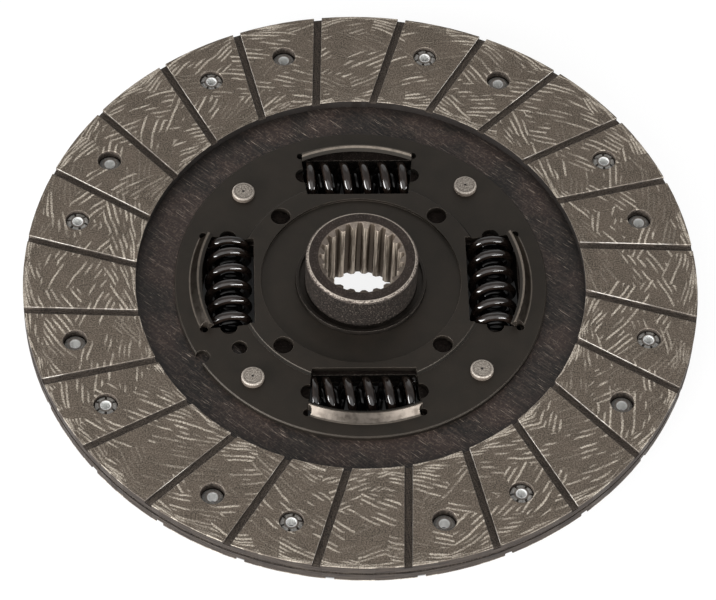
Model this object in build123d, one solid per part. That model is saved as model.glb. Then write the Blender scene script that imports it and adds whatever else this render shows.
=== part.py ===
from build123d import *
from math import asin, cos, degrees, pi, radians, sin, tan
import os

# Clutch disc with a torsion damper, lying on the rear end of its hub.
# Millimetres and degrees. Z runs up the hub axis from the hub's rear end, and the damper
# windows stand on X and Y. Sizes are written once here and every piece is worked out from them.

# Friction facings
facing_outer_radius = 100.0
facing_inner_radius = 66.8
facing_thickness = 3.0
facing_turn = -0.25          # facings, rivets and cushion segments, against the windows
groove_count = 24
groove_width = 2.4
groove_depth = 1.2
groove_slant = 14.3          # how far a groove's line passes from the disc axis
groove_turn = -1.9

# Carrier plate and its cushion segments
carrier_thickness = 0.7
segment_count = 8
segment_slot_width = 3.0
segment_root_inset = 3.2     # slots between segments end this far outside the facings' bore
segment_rim_gap = 2.0        # segments end this far inside the facing's rim
segment_wave = 0.13
segment_seat_gap = 0.02
segment_root_lap = 1.0       # how far a segment runs into the flat web
segment_curve_steps = 16
carrier_pin_lap = 0.4        # the web reaches this far inside the pins' bodies

# Hollow facing rivets, two on each cushion segment
rivet_rim_distance = 13.0    # rivets stand this far inside the facings' rim
rivet_half_spread = 8.0
rivet_shank_radius = 2.0
rivet_bore_radius = 1.4
rivet_head_radius = 3.2
rivet_head_height = 1.3
rivet_head_edge = 0.45       # height of the head's outer edge
rivet_tail_height = 1.1
rivet_tail_edge = 0.5
rivet_mouth_flare = 0.35     # how far the bore opens at the head
rivet_mouth_rim = 0.45
rivet_petals = 6
rivet_split_width = 0.7
rivet_hole_radius = 3.6
rivet_web = 1.1              # facing left under a rivet's tail
rivet_fit = 0.1

# Hub, its flange and its spline
hub_length = 25.3
hub_radius = 16.6
hub_edge_chamfer = 0.7
flange_height = 6.4          # underside of the flange above the hub's rear end
flange_thickness = 3.6
flange_rim_inset = 1.8       # flange ends this far inside the side plates' rim
flange_side_gap = 0.4
spline_teeth = 21
spline_minor_radius = 11.2
spline_depth = 1.4
spline_space_at_minor = 2.3
spline_space_at_major = 1.1
spline_turn = 5.4
lead_in_reach = 0.3          # lead-in opens this far past the spline
lead_in_slope = 33.0

# Side plates
plate_thickness = 1.8
plate_rim_width = 4.4        # outside the fold of the wings
plate_edge_round = 0.35
bead_inner_radius = 29.8
bead_width = 7.0
bead_height = 0.9
bead_slope_width = 0.8
retainer_hole_gap = 1.4      # round the hub
dish_radius = 30.6
dish_depth = 2.4
dish_slope_width = 1.6
vent_radius = 3.0
vent_circle_radius = 33.1
gauge_hole_radius = 2.35
gauge_hole_circle_radius = 43.2
gauge_hole_angle = 213.0
rim_notch_radius = 2.2
rim_notch_inset = 1.2
rim_notch_angle = 209.5

# Damper windows and the wings over them
window_count = 4
window_half_length = 15.3    # at the straight inner edge
window_flare = 6.0
window_lobe_radius = 2.6
wing_fold_gap = 4.5          # from the springs' outside to the fold
wing_arc_offset = 7.0        # the wings' arcs are centred this far out from the disc's axis
wing_length = 3.0            # past the bend
wing_angle = 54.0
wing_bend_radius = 1.5       # to the middle of the sheet
wing_end_slit = 0.45
wing_relief_radius = 1.25
carrier_window_margin = 1.6

# Damper springs
spring_circle_radius = 39.3
outer_spring_radius = 7.1
outer_wire = 2.5
outer_turns = 6.1
inner_wire = 1.8
inner_turns = 9.1
spring_nest_gap = 0.35
spring_side_gap = 0.6
spring_end_gap = 0.05
spring_end_turn = 0.75       # share of a turn that closes at each end
points_per_turn = 12

# Stop pins
pin_rim_distance = 7.9       # pins stand this far inside the side plates' rim
pin_offset_angle = 1.7       # pins stand this far past the middle between two windows
pin_body_radius = 4.0
pin_tenon_radius = 2.9
pin_head_radius = 3.4
pin_head_height = 1.5
pin_head_bevel = 0.4
pin_punch_radius = 0.4
pin_fit = 0.05
twist_half_range = 7.3
stop_gap = 0.15
notch_floor_gap = 0.6
notch_corner_radius = 1.5

# Friction pack round the hub
bush_fit = 0.1
bush_collar_wall = 2.6
bush_collar_rise = 1.5
bush_collar_step = 0.9
friction_rim_gap = 1.5       # inside the flat of the retainer's dish
friction_thickness = 1.0
support_thickness = 0.8
disc_spring_thickness = 0.5
disc_spring_inset = 0.6
running_gap = 0.05

# Heights and places that follow from the sizes above
flange_top = flange_height + flange_thickness
flange_middle = flange_height + flange_thickness / 2
retainer_top = flange_height - flange_side_gap
retainer_bottom = retainer_top - plate_thickness
carrier_bottom = flange_top + flange_side_gap
carrier_middle = carrier_bottom + carrier_thickness / 2
cover_bottom = carrier_bottom + carrier_thickness
cover_top = cover_bottom + plate_thickness
dish_top = retainer_top - dish_depth
cushion_gap = carrier_thickness + 2 * (segment_wave + segment_seat_gap)
rivet_circle_radius = facing_outer_radius - rivet_rim_distance
segment_root_radius = facing_inner_radius + segment_root_inset
segment_pitch = 360 / segment_count
window_inner = spring_circle_radius - outer_spring_radius - spring_side_gap
window_pitch = 360 / window_count
spring_length = 2 * (window_half_length - spring_end_gap)
inner_spring_radius = outer_spring_radius - outer_wire - spring_nest_gap
wing_fold_radius = spring_circle_radius + outer_spring_radius + wing_fold_gap
wing_fold_arc = wing_fold_radius - wing_arc_offset
wing_lean = radians(wing_angle)
wing_tip_radius = wing_fold_radius - wing_bend_radius * sin(wing_lean) - wing_length * cos(wing_lean)
plate_radius = wing_fold_radius + plate_rim_width
flange_radius = plate_radius - flange_rim_inset
pin_circle_radius = plate_radius - pin_rim_distance
bead_outer_radius = bead_inner_radius + bead_width
cover_hole_radius = hub_radius + bush_collar_wall + 2 * bush_fit
retainer_hole_radius = hub_radius + retainer_hole_gap
friction_radius = dish_radius - dish_slope_width - friction_rim_gap
spline_major_radius = spline_minor_radius + spline_depth
lead_in_radius = spline_major_radius + lead_in_reach


def turned(shape, angle):
    return shape.rotate(Axis.Z, angle)


def ring(inner, outer, low, high):
    """A flat ring between two heights."""
    return Pos(0, 0, low) * extrude(Circle(outer) - Circle(inner), high - low)


def revolved(*points):
    """The solid that a closed outline of (radius, height) points makes about Z."""
    return revolve(make_face(Plane.XZ * Polyline(*points, close=True)), Axis.Z)


def disc_at(radius, distance, angle, low, high):
    """A round cutter standing at a distance from the axis, in a direction."""
    place = Rot(0, 0, angle) * Pos(distance, 0, low)
    return place * Cylinder(radius, high - low, align=(Align.CENTER, Align.CENTER, Align.MIN))


# Facings: one ring, used twice. Its back is at height 0 and its grooved face is up.
def facing():
    body = ring(facing_inner_radius, facing_outer_radius, 0, facing_thickness)
    groove_floor = facing_thickness - groove_depth
    groove_reach = facing_outer_radius - facing_inner_radius + 2 * groove_slant
    groove = Pos(facing_inner_radius - groove_slant / 2, groove_slant, groove_floor) * Box(
        groove_reach, groove_width, 2 * groove_depth, align=(Align.MIN, Align.CENTER, Align.MIN))
    cutters = [turned(groove, groove_turn + k * 360 / groove_count) for k in range(groove_count)]
    for k in range(segment_count):
        middle = segment_pitch * (k + 0.5)
        head, tail = middle - rivet_half_spread, middle + rivet_half_spread
        top = 2 * facing_thickness
        cutters += [
            disc_at(rivet_hole_radius, rivet_circle_radius, head, -facing_thickness, top),
            disc_at(rivet_hole_radius, rivet_circle_radius, tail, rivet_web, top),
            disc_at(rivet_shank_radius + rivet_fit, rivet_circle_radius, tail, -facing_thickness, top),
        ]
    return body - cutters


# Carrier plate: a thin disc whose rim is slotted into segments. Each segment is waved along its
# width, so that it bears on one facing at one rivet and on the other facing at the next.
def cushion_segment():
    rim = facing_outer_radius - segment_rim_gap
    rivet_reach = rivet_circle_radius * sin(radians(rivet_half_spread))
    half_width = rim * sin(radians(segment_pitch / 2))
    crest_line = []
    for k in range(segment_curve_steps + 1):
        across = half_width * (2 * k / segment_curve_steps - 1)
        crest_line.append((across, segment_wave * sin(pi / 2 * across / rivet_reach)))
    half = carrier_thickness / 2
    upper = Spline([(a, z + half) for a, z in crest_line])
    lower = Spline([(a, z - half) for a, z in crest_line])
    ends = [Line(upper @ 0, lower @ 0), Line(upper @ 1, lower @ 1)]
    root = (segment_root_radius - segment_root_lap) * cos(radians(segment_pitch / 2))
    section = Plane(origin=(root, 0, 0), x_dir=(0, 1, 0), z_dir=(1, 0, 0))
    slab = extrude(section * make_face([upper, lower, *ends]), rim - root)
    outline = Circle(rim) - Circle(segment_root_radius - segment_root_lap)
    slot = Rectangle(2 * rim, segment_slot_width, align=(Align.MIN, Align.CENTER))
    past = Rectangle(2 * rim, 2 * rim, align=(Align.MIN, Align.MIN))
    for side in (1, -1):
        edge = Rot(0, 0, side * segment_pitch / 2)
        outline -= edge * slot
        outline -= edge * (past if side > 0 else past.mirror(Plane.XZ))
    outline -= Pos(-2 * rim, 0) * Rectangle(2 * rim, 4 * rim, align=(Align.MIN, Align.CENTER))
    return slab & (Pos(0, 0, -carrier_thickness) * extrude(outline, 2 * carrier_thickness))


def carrier_plate():
    web = Circle(segment_root_radius) - Circle(pin_circle_radius - pin_body_radius - carrier_pin_lap)
    margin = carrier_window_margin
    clear_length = 2 * (window_half_length + window_lobe_radius + margin)
    clear_height = wing_fold_radius + margin - window_inner
    clear = Pos(0, window_inner) * Rectangle(clear_length, clear_height, align=(Align.CENTER, Align.MIN))
    clear &= Circle(wing_fold_radius + margin)
    for k in range(window_count):
        web -= Rot(0, 0, k * window_pitch) * clear
    plate = Pos(0, 0, -carrier_thickness / 2) * extrude(web, carrier_thickness)
    segment = turned(cushion_segment(), facing_turn)
    for k in range(segment_count):
        plate += turned(segment, segment_pitch * (k + 0.5))
    holes = []
    for k in range(segment_count):
        for side in (1, -1):
            angle = facing_turn + segment_pitch * (k + 0.5) + side * rivet_half_spread
            holes.append(disc_at(rivet_shank_radius + rivet_fit, rivet_circle_radius, angle,
                                 -carrier_thickness, carrier_thickness))
    return Pos(0, 0, carrier_middle) * (plate - (holes + pin_holes()))


# Facing rivet: a hollow rivet with its head's bearing face at height 0 and the head above it.
# The tail is rolled over and splits into petals.
def facing_rivet():
    grip = carrier_thickness + 2 * segment_seat_gap + rivet_web
    bore, shank, head = rivet_bore_radius, rivet_shank_radius, rivet_head_radius
    mouth = bore + rivet_mouth_flare
    top, tail = rivet_head_height, -grip - rivet_tail_height
    body = revolved(
        (bore, tail), (bore, top - rivet_mouth_flare), (mouth, top), (mouth + rivet_mouth_rim, top),
        (head, rivet_head_edge), (head, 0), (shank, 0), (shank, -grip), (head, -grip),
        (head, -grip - rivet_tail_edge), (mouth, tail))
    split = Pos(shank + rivet_fit, 0, -grip - 2 * rivet_tail_height) * Box(
        head, rivet_split_width, 2 * rivet_tail_height, align=(Align.MIN, Align.CENTER, Align.MIN))
    return body - [turned(split, k * 360 / rivet_petals) for k in range(rivet_petals)]


def facing_rivets():
    """Rivets by name, in turn with the head up and with the split tail up."""
    head_height = carrier_thickness / 2 - segment_wave + segment_seat_gap
    head_up = Pos(0, 0, head_height) * facing_rivet()
    tail_up = head_up.rotate(Axis.X, 180)
    found = {}
    for k in range(segment_count):
        for side, rivet in ((-1, head_up), (1, tail_up)):
            angle = facing_turn + segment_pitch * (k + 0.5) + side * rivet_half_spread
            place = Rot(0, 0, angle) * Pos(rivet_circle_radius, 0, carrier_middle)
            found[f"rivet_{len(found) + 1:02d}"] = place * rivet
    return found


# Windows: a straight inner edge, ends that flare outwards with a round lobe at the spring's
# axis, and an outer side that ends at the fold of the wing.
def end_at(distance):
    """Half the window's length at a distance from the disc axis."""
    return window_half_length + (distance - window_inner) * tan(radians(window_flare))


def window_outline(far):
    near, wide = end_at(window_inner), end_at(far)
    return make_face(Polyline(
        (-near, window_inner), (near, window_inner), (wide, far), (-wide, far), close=True))


def wing_reliefs():
    """Round reliefs at the two ends of a wing's fold."""
    fold_end = wing_arc_offset + (wing_fold_arc**2 - end_at(spring_circle_radius)**2) ** 0.5
    height = fold_end - wing_relief_radius
    return [Pos(side * end_at(height), height) * Circle(wing_relief_radius) for side in (1, -1)]


def plate_window():
    outline = window_outline(wing_fold_radius) & (Pos(0, wing_arc_offset) * Circle(wing_fold_arc))
    for side in (1, -1):
        outline += Pos(side * end_at(spring_circle_radius), spring_circle_radius) * Circle(window_lobe_radius)
    return outline + wing_reliefs()


def wing(sheet_middle):
    """The outer flap of a window, bent up from its fold and still one sheet with the plate."""
    half, bend, lean, run = plate_thickness / 2, wing_bend_radius, wing_lean, wing_length

    def offset(side):
        """Line and arc points of one face of the sheet, above or below its middle."""
        start = (wing_fold_arc + half, side * half)
        fold = (wing_fold_arc, side * half)
        radius = bend - side * half
        middle = (wing_fold_arc - radius * sin(lean / 2), bend - radius * cos(lean / 2))
        end = (wing_fold_arc - radius * sin(lean), bend - radius * cos(lean))
        tip = (end[0] - run * cos(lean), end[1] + run * sin(lean))
        return start, fold, middle, end, tip

    low, high = offset(-1), offset(1)
    edges = []
    for start, fold, middle, end, tip in (low, high):
        edges += [Line(start, fold), ThreePointArc(fold, middle, end), Line(end, tip)]
    edges += [Line(low[0], high[0]), Line(low[4], high[4])]
    flap = Pos(0, wing_arc_offset, 0) * revolve(Plane.XZ * make_face(edges), Axis.Z)
    span = 2 * (end_at(wing_tip_radius) - wing_end_slit)
    reach = 2 * (bend + run)
    keep = Pos(0, window_inner, 0) * Box(
        span, wing_fold_radius, 2 * reach, align=(Align.CENTER, Align.MIN, Align.CENTER))
    reliefs = [Pos(0, 0, -reach) * extrude(hole, 2 * reach) for hole in wing_reliefs()]
    return Pos(0, 0, sheet_middle) * ((flap & keep) - reliefs)


def with_windows(plate, wing_piece):
    cut = Pos(0, 0, -hub_length) * extrude(plate_window(), 3 * hub_length)
    plate -= [turned(cut, k * window_pitch) for k in range(window_count)]
    for k in range(window_count):
        plate += turned(wing_piece, k * window_pitch)
    return plate


def pin_angles():
    return [window_pitch * (k + 0.5) + pin_offset_angle for k in range(window_count)]


def pin_holes():
    return [disc_at(pin_tenon_radius + pin_fit, pin_circle_radius, angle, -hub_length, hub_length)
            for angle in pin_angles()]


def cover_plate():
    low, high, rise = cover_bottom, cover_top, bead_height
    slope, edge = bead_slope_width / 2, plate_edge_round
    body = revolved(
        (cover_hole_radius, low), (bead_inner_radius, low), (bead_inner_radius + slope, low + rise),
        (bead_outer_radius - slope, low + rise), (bead_outer_radius + slope, low), (plate_radius, low),
        (plate_radius, high - edge), (plate_radius - edge, high), (bead_outer_radius + slope, high),
        (bead_outer_radius - slope, high + rise), (bead_inner_radius, high + rise),
        (bead_inner_radius, high), (cover_hole_radius, high))
    body = with_windows(body, wing(cover_bottom + plate_thickness / 2))
    middle = window_pitch / 2
    cutters = [disc_at(vent_radius, vent_circle_radius, middle + k * window_pitch, 0, 2 * high)
               for k in range(window_count)]
    cutters.append(disc_at(gauge_hole_radius, gauge_hole_circle_radius, gauge_hole_angle, 0, 2 * high))
    cutters.append(disc_at(rim_notch_radius, plate_radius - rim_notch_inset, rim_notch_angle, 0, 2 * high))
    return body - (cutters + pin_holes())


def retainer_plate():
    low, high, deep = retainer_bottom, retainer_top, dish_depth
    slope, edge = dish_slope_width, plate_edge_round
    body = revolved(
        (retainer_hole_radius, low - deep), (dish_radius - slope, low - deep), (dish_radius, low),
        (plate_radius - edge, low), (plate_radius, low + edge), (plate_radius, high),
        (dish_radius, high), (dish_radius - slope, high - deep), (retainer_hole_radius, high - deep))
    down = wing(0).mirror(Plane.XY)
    body = with_windows(body, Pos(0, 0, retainer_bottom + plate_thickness / 2) * down)
    return body - pin_holes()


# Stop pins: a thick body that spaces the plates, and a tenon at each end, riveted to a flat head.
def stop_pin():
    body_low, body_high = retainer_top, carrier_bottom
    rim = pin_head_bevel
    low, high = retainer_bottom - pin_head_height, cover_top + pin_head_height
    pin = revolved(
        (0, low), (pin_head_radius - rim, low), (pin_head_radius, low + rim),
        (pin_head_radius, retainer_bottom), (pin_tenon_radius, retainer_bottom),
        (pin_tenon_radius, body_low), (pin_body_radius, body_low), (pin_body_radius, body_high),
        (pin_tenon_radius, body_high), (pin_tenon_radius, cover_top), (pin_head_radius, cover_top),
        (pin_head_radius, high - rim), (pin_head_radius - rim, high), (pin_punch_radius, high),
        (0, high - pin_punch_radius))
    return Pos(pin_circle_radius, 0, 0) * pin


# Hub: a turned sleeve with its flange in one piece, splined right through.
def spline_outline():
    pitch = 360 / spline_teeth
    space = make_face(Polyline(
        (0, -spline_space_at_minor / 2), (spline_minor_radius, -spline_space_at_minor / 2),
        (spline_major_radius, -spline_space_at_major / 2), (spline_major_radius, spline_space_at_major / 2),
        (spline_minor_radius, spline_space_at_minor / 2), (0, spline_space_at_minor / 2), close=True))
    outline = Circle(spline_minor_radius)
    for k in range(spline_teeth):
        outline += Rot(0, 0, spline_turn + k * pitch) * space
    return outline


def flange_outline():
    outline = Circle(flange_radius)
    window_far = spring_circle_radius + outer_spring_radius + spring_side_gap
    window = window_outline(window_far)
    stop_reach = pin_body_radius + stop_gap
    half_angle = twist_half_range + degrees(asin(stop_reach / pin_circle_radius))
    floor = pin_circle_radius - pin_body_radius - notch_floor_gap
    past = 2 * flange_radius
    sides = [(past * cos(radians(a)), past * sin(radians(a))) for a in (-half_angle, half_angle)]
    notch = make_face(Polyline((0, 0), *sides, close=True)) - Circle(floor)
    notch = fillet(notch.vertices().group_by(lambda v: (v.X**2 + v.Y**2) ** 0.5)[0], notch_corner_radius)
    for k in range(window_count):
        outline -= Rot(0, 0, k * window_pitch) * window
        outline -= Rot(0, 0, (k + 0.5) * window_pitch) * notch
    return outline


def hub():
    bevel = hub_edge_chamfer
    lead_depth = (lead_in_radius - spline_minor_radius) * tan(radians(lead_in_slope))
    sleeve = revolved(
        (0, 0), (hub_radius - bevel, 0), (hub_radius, bevel), (hub_radius, hub_length - bevel),
        (hub_radius - bevel, hub_length), (0, hub_length))
    body = sleeve + Pos(0, 0, flange_height) * extrude(flange_outline(), flange_thickness)
    body -= Pos(0, 0, -hub_length) * extrude(spline_outline(), 3 * hub_length)
    lead_in = revolved((0, -lead_depth), (spline_minor_radius, -lead_depth), (lead_in_radius, 0), (0, 0))
    return body - [Pos(0, 0, hub_length) * lead_in, lead_in.mirror(Plane.XY)]


# Friction pack: what centres the hub in the plates and damps its twist.
def centring_bush():
    inner, collar = hub_radius + bush_fit, cover_hole_radius - bush_fit
    low, shoulder = flange_top + running_gap, cover_bottom - running_gap
    top, step = cover_top + bush_collar_rise, bush_collar_step
    return revolved(
        (inner, low), (friction_radius, low), (friction_radius, shoulder), (collar, shoulder),
        (collar, top), (collar - step, top), (collar - step, top - step), (inner, top - step))


def friction_pack():
    inner = hub_radius + bush_fit
    washer_top = flange_height - running_gap
    washer_low = washer_top - friction_thickness
    support_low = washer_low - support_thickness
    edge = friction_radius - disc_spring_inset
    eye = retainer_hole_radius + disc_spring_inset
    rise = support_low - dish_top - disc_spring_thickness
    return {
        "friction_washer": ring(inner, friction_radius, washer_low, washer_top),
        "support_ring": ring(inner, friction_radius, support_low, washer_low),
        "disc_spring": revolved(
            (edge, dish_top), (edge, dish_top + disc_spring_thickness),
            (eye, dish_top + rise + disc_spring_thickness), (eye, dish_top + rise)),
    }


# Damper springs: right-hand coils with closed ends, ground flat, lying across the windows.
def coil_spring(radius, wire, turns):
    """A spring centred on the origin with its axis along Z. The end turns close up."""
    middle_radius = radius - wire / 2
    end_rise = wire * spring_end_turn
    open_turns = turns - 2 * spring_end_turn
    open_rise = (spring_length - 2 * end_rise) / open_turns
    steps = round(turns * points_per_turn)
    points = []
    for k in range(steps + 1):
        turn = turns * k / steps
        if turn < spring_end_turn:
            height = wire * turn
        elif turn > turns - spring_end_turn:
            height = spring_length - wire * (turns - turn)
        else:
            height = end_rise + open_rise * (turn - spring_end_turn)
        angle = 2 * pi * turn
        points.append((middle_radius * cos(angle), middle_radius * sin(angle), height - spring_length / 2))
    path = Spline(points)
    section = Plane(origin=path @ 0, z_dir=path % 0) * Circle(wire / 2)
    coil = sweep(section, path=path, binormal=(0, 0, 1))
    return coil & Box(4 * radius, 4 * radius, spring_length)


def damper_springs():
    found = {}
    sizes = {
        "outer_spring": (outer_spring_radius, outer_wire, outer_turns),
        "inner_spring": (inner_spring_radius, inner_wire, inner_turns),
    }
    for name, (radius, wire, turns) in sizes.items():
        spring = coil_spring(radius, wire, turns).rotate(Axis.X, -90)
        for k in range(window_count):
            place = Rot(0, 0, k * window_pitch) * Pos(spring_circle_radius, 0, flange_middle)
            found[f"{name}_{k + 1}"] = place * spring
    return found


def pieces():
    ring_piece = facing()
    half_gap = cushion_gap / 2
    found = {
        "facing_upper": turned(Pos(0, 0, carrier_middle + half_gap) * ring_piece, facing_turn),
        "facing_lower": turned(
            Pos(0, 0, carrier_middle - half_gap) * ring_piece.rotate(Axis.X, 180), facing_turn),
        "carrier_plate": carrier_plate(),
        "cover_plate": cover_plate(),
        "retainer_plate": retainer_plate(),
        "hub": hub(),
        "centring_bush": centring_bush(),
    }
    found.update(friction_pack())
    for k, angle in enumerate(pin_angles()):
        found[f"stop_pin_{k + 1}"] = turned(stop_pin(), angle)
    found.update(facing_rivets())
    found.update(damper_springs())
    return found


os.makedirs("parts", exist_ok=True)
for name, shape in pieces().items():
    export_step(shape, f"parts/{name}.step")
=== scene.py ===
from math import cos, pi, radians, sin

import bmesh
import bpy
from mathutils import Matrix, Vector


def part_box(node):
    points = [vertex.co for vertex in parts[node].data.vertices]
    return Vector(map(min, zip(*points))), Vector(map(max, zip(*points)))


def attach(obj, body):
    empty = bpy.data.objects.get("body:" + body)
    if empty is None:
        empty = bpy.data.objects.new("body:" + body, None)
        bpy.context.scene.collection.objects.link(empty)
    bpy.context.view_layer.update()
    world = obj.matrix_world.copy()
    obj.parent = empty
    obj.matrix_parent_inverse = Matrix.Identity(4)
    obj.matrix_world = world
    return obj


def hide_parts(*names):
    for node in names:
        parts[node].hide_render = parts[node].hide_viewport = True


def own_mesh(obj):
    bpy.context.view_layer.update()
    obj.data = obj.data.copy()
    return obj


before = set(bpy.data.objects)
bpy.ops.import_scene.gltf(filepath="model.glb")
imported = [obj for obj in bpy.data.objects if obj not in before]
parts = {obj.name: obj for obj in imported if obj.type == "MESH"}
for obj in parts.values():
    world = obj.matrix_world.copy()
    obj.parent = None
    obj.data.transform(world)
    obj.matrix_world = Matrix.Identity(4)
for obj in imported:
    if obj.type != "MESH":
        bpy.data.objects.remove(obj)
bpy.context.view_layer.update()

# Clutch disc. It lies on the rear end of its hub with the splined bore upright. Sizes are named in
# millimetres and turned into metres by mm where they meet the mesh, and angles are in degrees.
mm = 0.001


# Hub. One steel piece: a turned sleeve and the flange that drives the damper springs. It is broached
# with splines from end to end, so the bore is bare cut metal, and the rest keeps a dark furnace skin
# that is rubbed bright along its corners.
hub_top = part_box("hub")[1].z / mm
hub_face_reach = 15.6
hub_chamfer = 0.4
bore_reach = 12.95
# The radii over which the bore darkens towards the splines' roots, as painted shade.
painted_root_shade = (11.4, 12.2)
corner_fade = 0.15


def plug(tree, node, label, value):
    """Fills an input of a node: another node's output is linked to it, and a plain value is set."""
    if isinstance(value, bpy.types.NodeSocket):
        tree.links.new(value, node.inputs[label])
    else:
        node.inputs[label].default_value = value


def add(tree, kind, sockets=None, **settings):
    """Adds a shader node with its settings and its inputs, and returns it."""
    made = tree.nodes.new("ShaderNode" + kind)
    for name, value in settings.items():
        setattr(made, name, value)
    for label, value in (sockets or {}).items():
        plug(tree, made, label, value)
    return made


def maths(tree, operation, *values):
    return add(tree, "Math", dict(enumerate(values)), operation=operation).outputs[0]


def plus(tree, first, second):
    return maths(tree, "ADD", first, second)


def minus(tree, first, second):
    return maths(tree, "SUBTRACT", first, second)


def times(tree, first, second):
    return maths(tree, "MULTIPLY", first, second)


def over(tree, first, second):
    return maths(tree, "DIVIDE", first, second)


def vector_maths(tree, operation, *values):
    made = add(tree, "VectorMath", dict(enumerate(values)), operation=operation)
    return made.outputs["Value" if operation in ("DOT_PRODUCT", "LENGTH") else "Vector"]


def height_of(tree, vector):
    """The upward part of a vector."""
    return add(tree, "SeparateXYZ", {0: vector}).outputs["Z"]


def join(tree, x=0.0, y=0.0, z=0.0):
    """A vector from its three parts."""
    return add(tree, "CombineXYZ", {"X": x, "Y": y, "Z": z}).outputs[0]


def noise(tree, vector, scale, detail, roughness=0.5):
    """Cloudy noise about 0.5."""
    return add(tree, "TexNoise", {"Vector": vector, "Scale": scale, "Detail": detail,
                                  "Roughness": roughness}).outputs["Fac"]


def remap(tree, value, low, high, to_low=0.0, to_high=1.0):
    """Carries a value smoothly from one span to another, and holds it there."""
    return add(tree, "MapRange", {"Value": value, "From Min": low, "From Max": high, "To Min": to_low,
                                  "To Max": to_high}, interpolation_type="SMOOTHSTEP").outputs["Result"]


def band(tree, value, start, full, fade, end):
    """A mask that rises from start to full, and falls from fade to end."""
    return times(tree, remap(tree, value, start, full), remap(tree, value, end, fade))


def blend_value(tree, share, first, second):
    return add(tree, "Mix", {0: share, 2: first, 3: second}, data_type="FLOAT").outputs[0]


def blend_colours(tree, share, first, second):
    return add(tree, "Mix", {0: share, 6: first, 7: second}, data_type="RGBA").outputs[2]


def colour(red, green, blue):
    """A colour named by its 0 to 255 screen values, as the linear colour that a shader takes."""
    return tuple(((value / 255 + 0.055) / 1.055) ** 2.4 for value in (red, green, blue)) + (1.0,)


def effect(name, takes, gives):
    """A shader group with named inputs and their first values, and named outputs and their kinds."""
    tree = bpy.data.node_groups.new(name, "ShaderNodeTree")
    for label, value in takes.items():
        kind = "NodeSocketVector" if isinstance(value, tuple) else "NodeSocketFloat"
        tree.interface.new_socket(label, in_out="INPUT", socket_type=kind).default_value = value
    for label, kind in gives.items():
        tree.interface.new_socket(label, in_out="OUTPUT", socket_type="NodeSocket" + kind)
    return tree, tree.nodes.new("NodeGroupInput").outputs, tree.nodes.new("NodeGroupOutput").inputs


def place(tree, group, **sockets):
    """Puts a shared effect into a material and returns its outputs."""
    made = tree.nodes.new("ShaderNodeGroup")
    made.node_tree = group
    for label, value in sockets.items():
        plug(tree, made, label.capitalize(), value)
    return made.outputs


def build_disc_place():
    """Where a point lies, in millimetres and radians about the hub axis."""
    tree, _, gives = effect("disc place", {}, {
        "Position": "Vector", "Radius": "Float", "Angle": "Float", "Height": "Float"})
    spot = vector_maths(tree, "MULTIPLY", add(tree, "TexCoord").outputs["Object"], (1 / mm,) * 3)
    x, y, z = add(tree, "SeparateXYZ", {0: spot}).outputs
    tree.links.new(spot, gives["Position"])
    tree.links.new(vector_maths(tree, "LENGTH", join(tree, x, y)), gives["Radius"])
    tree.links.new(maths(tree, "ARCTAN2", y, x), gives["Angle"])
    tree.links.new(z, gives["Height"])
    return tree


def build_edge_wear():
    """Corners within Width millimetres: a broken mask of rubbed metal, and a rounded normal."""
    slight_turn, full_turn = 0.02, 0.2
    gate_starts, gate_opens = 0.85, 1.05
    tree, takes, gives = effect("edge wear", {"Position": (0, 0, 0), "Width": 0.3, "Grain": 1.5,
                                              "Cover": 0.5}, {"Mask": "Float", "Normal": "Vector"})
    rounded = add(tree, "Bevel", {"Radius": times(tree, takes["Width"], mm)}, samples=5).outputs[0]
    plain = add(tree, "NewGeometry").outputs["Normal"]
    turn = minus(tree, 1.0, vector_maths(tree, "DOT_PRODUCT", rounded, plain))
    broken = noise(tree, takes["Position"], takes["Grain"], 4.0, 0.65)
    gate = remap(tree, plus(tree, broken, takes["Cover"]), gate_starts, gate_opens)
    tree.links.new(times(tree, remap(tree, turn, slight_turn, full_turn), gate), gives["Mask"])
    tree.links.new(rounded, gives["Normal"])
    return tree


def build_mottle():
    """Soft cloudy variation from 0 to 1, in patches of Size millimetres."""
    tree, takes, gives = effect("mottle", {"Position": (0, 0, 0), "Size": 4.0, "Low": 0.3, "High": 0.7},
                                {"Value": "Float"})
    cloud = noise(tree, takes["Position"], over(tree, 1.0, takes["Size"]), 5.0, 0.6)
    tree.links.new(remap(tree, cloud, takes["Low"], takes["High"]), gives["Value"])
    return tree


disc_place = build_disc_place()
edge_wear = build_edge_wear()
mottle = build_mottle()


def new_material(name, **fixed):
    """A material with one Principled shader. fixed sets the sockets that are the same all over."""
    material = bpy.data.materials.new(name)
    material.use_nodes = True
    tree = material.node_tree
    shader = tree.nodes["Principled BSDF"]
    for label, value in fixed.items():
        plug(tree, shader, label.replace("_", " "), value)
    return material, tree, shader


def finish_shader(tree, shader, **sockets):
    """Links what changes over the surface to the shader."""
    for label, value in sockets.items():
        plug(tree, shader, label.replace("_", " "), value)


def raised(tree, height, depth, normal=None):
    """The normal of a relief that is depth millimetres high."""
    sockets = {"Height": height, "Distance": depth * mm, "Strength": 1.0}
    if normal is not None:
        sockets["Normal"] = normal
    return add(tree, "Bump", sockets).outputs["Normal"]


def dress(name, material):
    """Gives a CAD piece its finish."""
    mesh = parts[name].data
    mesh.materials.clear()
    mesh.materials.append(material)


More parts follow.
